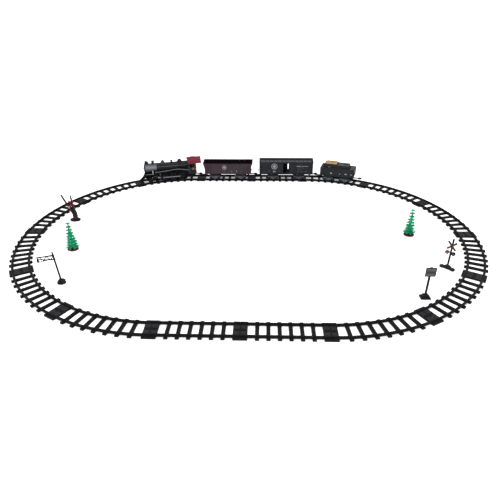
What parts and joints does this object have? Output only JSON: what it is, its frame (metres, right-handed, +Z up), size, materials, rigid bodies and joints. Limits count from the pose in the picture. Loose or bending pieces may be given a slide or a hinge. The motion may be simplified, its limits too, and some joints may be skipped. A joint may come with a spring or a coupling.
{
  "type": "model train set",
  "caption": "Battery steam train with open hopper, boxcar and tender on a clip-together oval track, with crossing gate, signal, catenary mast, sign and trees.",
  "frame": {"origin": "centre of the track oval at floor level", "axes": "+X along the oval's long axis, +Y towards the straight the train stands on, +Z up"},
  "size_m": [1.0304, 0.7421, 0.0692],
  "materials": {
    "track_plastic": "satin moulded plastic",
    "black_plastic": "satin moulded plastic",
    "chassis_plastic": "moulded plastic",
    "wheel_plastic": "moulded plastic",
    "roof_red": "painted crimson",
    "smokebox_grey": "metallic grey paint",
    "rod_silver": "vacuum plated",
    "motor_steel": "plated steel",
    "pinion_brass": "bright",
    "cell_wrap": "shrink sleeve",
    "hopper_brown": "dark maroon brown",
    "boxcar_grey": "charcoal blue-grey",
    "tender_black": "satin black",
    "load_gold": "ochre gold",
    "signal_black": "moulded plastic",
    "gate_red": "red and pale bands",
    "tree_green": "bright green polythene"
  },
  "bodies": {
    "track": {"right_curve_track_1": "track_plastic", "right_curve_track_2": "track_plastic", "right_curve_track_3": "track_plastic", "left_curve_track_1": "track_plastic", "left_curve_track_2": "track_plastic", "left_curve_track_3": "track_plastic", "far_straight_track": "track_plastic", "near_straight_track": "track_plastic", "crossing_gate_base": "signal_black", "crossing_signal": "signal_black", "catenary_mast": "signal_black", "sign_post": "signal_black", "left_tree": "tree_green", "right_tree": "tree_green"},
    "loco": {"loco_chassis": "chassis_plastic", "loco_body": "black_plastic", "cab_roof": "roof_red", "boiler_domes": "black_plastic", "motor": "motor_steel", "battery_cells": "cell_wrap"},
    "smokebox_cap": {"smokebox": "smokebox_grey"},
    "driver_axle_1": {"driver_1": "wheel_plastic"},
    "driver_axle_2": {"driver_2": "wheel_plastic"},
    "driver_axle_3": {"driver_3": "wheel_plastic"},
    "near_rod": {"near_side_rod": "rod_silver"},
    "far_rod": {"far_side_rod": "rod_silver"},
    "pinion": {"motor_pinion": "pinion_brass"},
    "switch_knob": {"power_switch": "black_plastic"},
    "leading_truck": {"pony_truck": "chassis_plastic"},
    "leading_axle": {"pony_wheels": "wheel_plastic"},
    "loco_bar": {"loco_drawbar": "chassis_plastic"},
    "hopper": {"hopper_body": "hopper_brown"},
    "hopper_bar": {"hopper_drawbar": "chassis_plastic"},
    "boxcar": {"boxcar_body": "boxcar_grey", "boxcar_roof": "boxcar_grey"},
    "near_door": {"boxcar_near_door": "boxcar_grey"},
    "far_door": {"boxcar_far_door": "boxcar_grey"},
    "boxcar_bar": {"boxcar_drawbar": "chassis_plastic"},
    "tender": {"tender_body": "tender_black", "tender_load": "load_gold"},
    "tender_bar": {"tender_drawbar": "chassis_plastic"},
    "gate_arm": {"crossing_gate_arm": "gate_red"},
    "hopper_front_bogie_body": {"hopper_front_bogie": "chassis_plastic"},
    "hopper_front_wheels_1_axle": {"hopper_front_wheels_1": "wheel_plastic"},
    "hopper_front_wheels_2_axle": {"hopper_front_wheels_2": "wheel_plastic"},
    "hopper_rear_bogie_body": {"hopper_rear_bogie": "chassis_plastic"},
    "hopper_rear_wheels_1_axle": {"hopper_rear_wheels_1": "wheel_plastic"},
    "hopper_rear_wheels_2_axle": {"hopper_rear_wheels_2": "wheel_plastic"},
    "boxcar_front_bogie_body": {"boxcar_front_bogie": "chassis_plastic"},
    "boxcar_front_wheels_1_axle": {"boxcar_front_wheels_1": "wheel_plastic"},
    "boxcar_front_wheels_2_axle": {"boxcar_front_wheels_2": "wheel_plastic"},
    "boxcar_rear_bogie_body": {"boxcar_rear_bogie": "chassis_plastic"},
    "boxcar_rear_wheels_1_axle": {"boxcar_rear_wheels_1": "wheel_plastic"},
    "boxcar_rear_wheels_2_axle": {"boxcar_rear_wheels_2": "wheel_plastic"},
    "tender_front_bogie_body": {"tender_front_bogie": "chassis_plastic"},
    "tender_front_wheels_1_axle": {"tender_front_wheels_1": "wheel_plastic"},
    "tender_front_wheels_2_axle": {"tender_front_wheels_2": "wheel_plastic"},
    "tender_rear_bogie_body": {"tender_rear_bogie": "chassis_plastic"},
    "tender_rear_wheels_1_axle": {"tender_rear_wheels_1": "wheel_plastic"},
    "tender_rear_wheels_2_axle": {"tender_rear_wheels_2": "wheel_plastic"}
  },
  "joints": [
    {"name": "train_run", "type": "hinge", "parent": "track", "child": "loco", "pos_m": [-0.148, 0, 0], "axis": [0, 0, 1], "range_deg": [-2.5, 5]},
    {"name": "hopper_run", "type": "slide", "parent": "track", "child": "hopper", "axis": [-1, 0, 0], "range_m": [-0.01515, 0.03021]},
    {"name": "boxcar_run", "type": "slide", "parent": "track", "child": "boxcar", "axis": [-1, 0, 0], "range_m": [-0.01515, 0.03021]},
    {"name": "tender_run", "type": "hinge", "parent": "track", "child": "tender", "pos_m": [0.148, 0, 0], "axis": [0, 0, 1], "range_deg": [-2.5, 5]},
    {"name": "smokebox_slide", "type": "slide", "parent": "loco", "child": "smokebox_cap", "axis": [-0.9707, -0.2402, 0], "range_m": [0, 0.03]},
    {"name": "switch_slide", "type": "slide", "parent": "loco", "child": "switch_knob", "axis": [0.9707, 0.2402, 0], "range_m": [0, 0.005]},
    {"name": "driver_1_roll", "type": "hinge", "parent": "loco", "child": "driver_axle_1", "pos_m": [-0.25312, 0.329, 0.01675], "axis": [0.2402, -0.9707, 0], "continuous": true},
    {"name": "driver_2_roll", "type": "hinge", "parent": "loco", "child": "driver_axle_2", "pos_m": [-0.23079, 0.33453, 0.01675], "axis": [0.2402, -0.9707, 0], "continuous": true},
    {"name": "driver_3_roll", "type": "hinge", "parent": "loco", "child": "driver_axle_3", "pos_m": [-0.20846, 0.34005, 0.01675], "axis": [0.2402, -0.9707, 0], "continuous": true},
    {"name": "near_rod_turn", "type": "hinge", "parent": "driver_axle_2", "child": "near_rod", "pos_m": [-0.22999, 0.31464, 0.01675], "axis": [0.2402, -0.9707, 0], "continuous": true},
    {"name": "far_rod_turn", "type": "hinge", "parent": "driver_axle_2", "child": "far_rod", "pos_m": [-0.23159, 0.35442, 0.01675], "axis": [0.2402, -0.9707, 0], "continuous": true},
    {"name": "pinion_spin", "type": "hinge", "parent": "loco", "child": "pinion", "pos_m": [-0.19779, 0.3427, 0.0215], "axis": [0.2402, -0.9707, 0], "continuous": true},
    {"name": "leading_truck_swing", "type": "hinge", "parent": "loco", "child": "leading_truck", "pos_m": [-0.26962, 0.32492, 0.0176], "axis": [0, 0, 1], "range_deg": [-1, 1]},
    {"name": "leading_axle_roll", "type": "hinge", "parent": "leading_truck", "child": "leading_axle", "pos_m": [-0.29334, 0.31256, 0.01225], "axis": [0.4621, -0.8868, 0], "continuous": true},
    {"name": "loco_bar_swivel", "type": "hinge", "parent": "loco", "child": "loco_bar", "pos_m": [-0.17061, 0.34942, 0.016], "axis": [0, 0, 1], "range_deg": [-1.45, 2.6]},
    {"name": "boxcar_bar_swivel", "type": "hinge", "parent": "boxcar", "child": "boxcar_bar", "pos_m": [0.169, 0.345, 0.016], "axis": [0, 0, 1], "range_deg": [-4.64, 8.97]},
    {"name": "hopper_bar_swivel", "type": "hinge", "parent": "hopper", "child": "hopper_bar", "pos_m": [-0.0095, 0.345, 0.016], "axis": [0, 0, 1], "range_deg": [-3, 3]},
    {"name": "tender_bar_swivel", "type": "hinge", "parent": "tender", "child": "tender_bar", "pos_m": [0.29053, 0.31626, 0.016], "axis": [0, 0, 1], "range_deg": [-25, 25]},
    {"name": "near_door_slide", "type": "slide", "parent": "boxcar", "child": "near_door", "axis": [1, 0, 0], "range_m": [-0.0186, 0]},
    {"name": "far_door_slide", "type": "slide", "parent": "boxcar", "child": "far_door", "axis": [1, 0, 0], "range_m": [-0.015, 0.0036]},
    {"name": "gate_arm_swing", "type": "hinge", "parent": "track", "child": "gate_arm", "pos_m": [-0.421, 0.062, 0.014], "axis": [0, -1, 0], "range_deg": [-15, 68]},
    {"name": "hopper_front_bogie_swivel", "type": "hinge", "parent": "hopper", "child": "hopper_front_bogie_body", "pos_m": [-0.106, 0.345, 0.017], "axis": [0, 0, 1], "range_deg": [-2, 2]},
    {"name": "hopper_front_wheels_1_roll", "type": "hinge", "parent": "hopper_front_bogie_body", "child": "hopper_front_wheels_1_axle", "pos_m": [-0.116, 0.345, 0.01225], "axis": [0, -1, 0], "continuous": true},
    {"name": "hopper_front_wheels_2_roll", "type": "hinge", "parent": "hopper_front_bogie_body", "child": "hopper_front_wheels_2_axle", "pos_m": [-0.096, 0.345, 0.01225], "axis": [0, -1, 0], "continuous": true},
    {"name": "hopper_rear_bogie_swivel", "type": "hinge", "parent": "hopper", "child": "hopper_rear_bogie_body", "pos_m": [-0.031, 0.345, 0.017], "axis": [0, 0, 1], "range_deg": [-2, 2]},
    {"name": "hopper_rear_wheels_1_roll", "type": "hinge", "parent": "hopper_rear_bogie_body", "child": "hopper_rear_wheels_1_axle", "pos_m": [-0.041, 0.345, 0.01225], "axis": [0, -1, 0], "continuous": true},
    {"name": "hopper_rear_wheels_2_roll", "type": "hinge", "parent": "hopper_rear_bogie_body", "child": "hopper_rear_wheels_2_axle", "pos_m": [-0.021, 0.345, 0.01225], "axis": [0, -1, 0], "continuous": true},
    {"name": "boxcar_front_bogie_swivel", "type": "hinge", "parent": "boxcar", "child": "boxcar_front_bogie_body", "pos_m": [0.0625, 0.345, 0.017], "axis": [0, 0, 1], "range_deg": [-2, 2]},
    {"name": "boxcar_front_wheels_1_roll", "type": "hinge", "parent": "boxcar_front_bogie_body", "child": "boxcar_front_wheels_1_axle", "pos_m": [0.0525, 0.345, 0.01225], "axis": [0, -1, 0], "continuous": true},
    {"name": "boxcar_front_wheels_2_roll", "type": "hinge", "parent": "boxcar_front_bogie_body", "child": "boxcar_front_wheels_2_axle", "pos_m": [0.0725, 0.345, 0.01225], "axis": [0, -1, 0], "continuous": true},
    {"name": "boxcar_rear_bogie_swivel", "type": "hinge", "parent": "boxcar", "child": "boxcar_rear_bogie_body", "pos_m": [0.1375, 0.345, 0.017], "axis": [0, 0, 1], "range_deg": [-2, 2]},
    {"name": "boxcar_rear_wheels_1_roll", "type": "hinge", "parent": "boxcar_rear_bogie_body", "child": "boxcar_rear_wheels_1_axle", "pos_m": [0.1275, 0.345, 0.01225], "axis": [0, -1, 0], "continuous": true},
    {"name": "boxcar_rear_wheels_2_roll", "type": "hinge", "parent": "boxcar_rear_bogie_body", "child": "boxcar_rear_wheels_2_axle", "pos_m": [0.1475, 0.345, 0.01225], "axis": [0, -1, 0], "continuous": true},
    {"name": "tender_front_bogie_swivel", "type": "hinge", "parent": "tender", "child": "tender_front_bogie_body", "pos_m": [0.22454, 0.33641, 0.017], "axis": [0, 0, 1], "range_deg": [-2, 2]},
    {"name": "tender_front_wheels_1_roll", "type": "hinge", "parent": "tender_front_bogie_body", "child": "tender_front_wheels_1_axle", "pos_m": [0.21479, 0.33862, 0.01225], "axis": [-0.2219, -0.9751, 0], "continuous": true},
    {"name": "tender_front_wheels_2_roll", "type": "hinge", "parent": "tender_front_bogie_body", "child": "tender_front_wheels_2_axle", "pos_m": [0.23429, 0.33419, 0.01225], "axis": [-0.2219, -0.9751, 0], "continuous": true},
    {"name": "tender_rear_bogie_swivel", "type": "hinge", "parent": "tender", "child": "tender_rear_bogie_body", "pos_m": [0.27236, 0.32181, 0.017], "axis": [0, 0, 1], "range_deg": [-2, 2]},
    {"name": "tender_rear_wheels_1_roll", "type": "hinge", "parent": "tender_rear_bogie_body", "child": "tender_rear_wheels_1_axle", "pos_m": [0.26303, 0.32541, 0.01225], "axis": [-0.3604, -0.9328, 0], "continuous": true},
    {"name": "tender_rear_wheels_2_roll", "type": "hinge", "parent": "tender_rear_bogie_body", "child": "tender_rear_wheels_2_axle", "pos_m": [0.28169, 0.31821, 0.01225], "axis": [-0.3604, -0.9328, 0], "continuous": true}
  ],
  "couplings": [
    {"joint": "hopper_run", "follows": "train_run", "m_per_rad": 0.345},
    {"joint": "boxcar_run", "follows": "train_run", "m_per_rad": 0.345},
    {"joint": "tender_run", "follows": "train_run", "ratio": 1},
    {"joint": "driver_1_roll", "follows": "train_run", "ratio": 34.5},
    {"joint": "driver_2_roll", "follows": "train_run", "ratio": 34.5},
    {"joint": "driver_3_roll", "follows": "train_run", "ratio": 34.5},
    {"joint": "near_rod_turn", "follows": "train_run", "ratio": -34.5},
    {"joint": "far_rod_turn", "follows": "train_run", "ratio": -34.5},
    {"joint": "pinion_spin", "follows": "train_run", "ratio": -138},
    {"joint": "leading_axle_roll", "follows": "train_run", "ratio": 62.727},
    {"joint": "loco_bar_swivel", "follows": "train_run", "ratio": 0.46},
    {"joint": "boxcar_bar_swivel", "follows": "train_run", "ratio": 1.735},
    {"joint": "hopper_front_wheels_1_roll", "follows": "train_run", "ratio": 62.727},
    {"joint": "hopper_front_wheels_2_roll", "follows": "train_run", "ratio": 62.727},
    {"joint": "hopper_rear_wheels_1_roll", "follows": "train_run", "ratio": 62.727},
    {"joint": "hopper_rear_wheels_2_roll", "follows": "train_run", "ratio": 62.727},
    {"joint": "boxcar_front_wheels_1_roll", "follows": "train_run", "ratio": 62.727},
    {"joint": "boxcar_front_wheels_2_roll", "follows": "train_run", "ratio": 62.727},
    {"joint": "boxcar_rear_wheels_1_roll", "follows": "train_run", "ratio": 62.727},
    {"joint": "boxcar_rear_wheels_2_roll", "follows": "train_run", "ratio": 62.727},
    {"joint": "tender_front_wheels_1_roll", "follows": "train_run", "ratio": 62.727},
    {"joint": "tender_front_wheels_2_roll", "follows": "train_run", "ratio": 62.727},
    {"joint": "tender_rear_wheels_1_roll", "follows": "train_run", "ratio": 62.727},
    {"joint": "tender_rear_wheels_2_roll", "follows": "train_run", "ratio": 62.727}
  ]
}
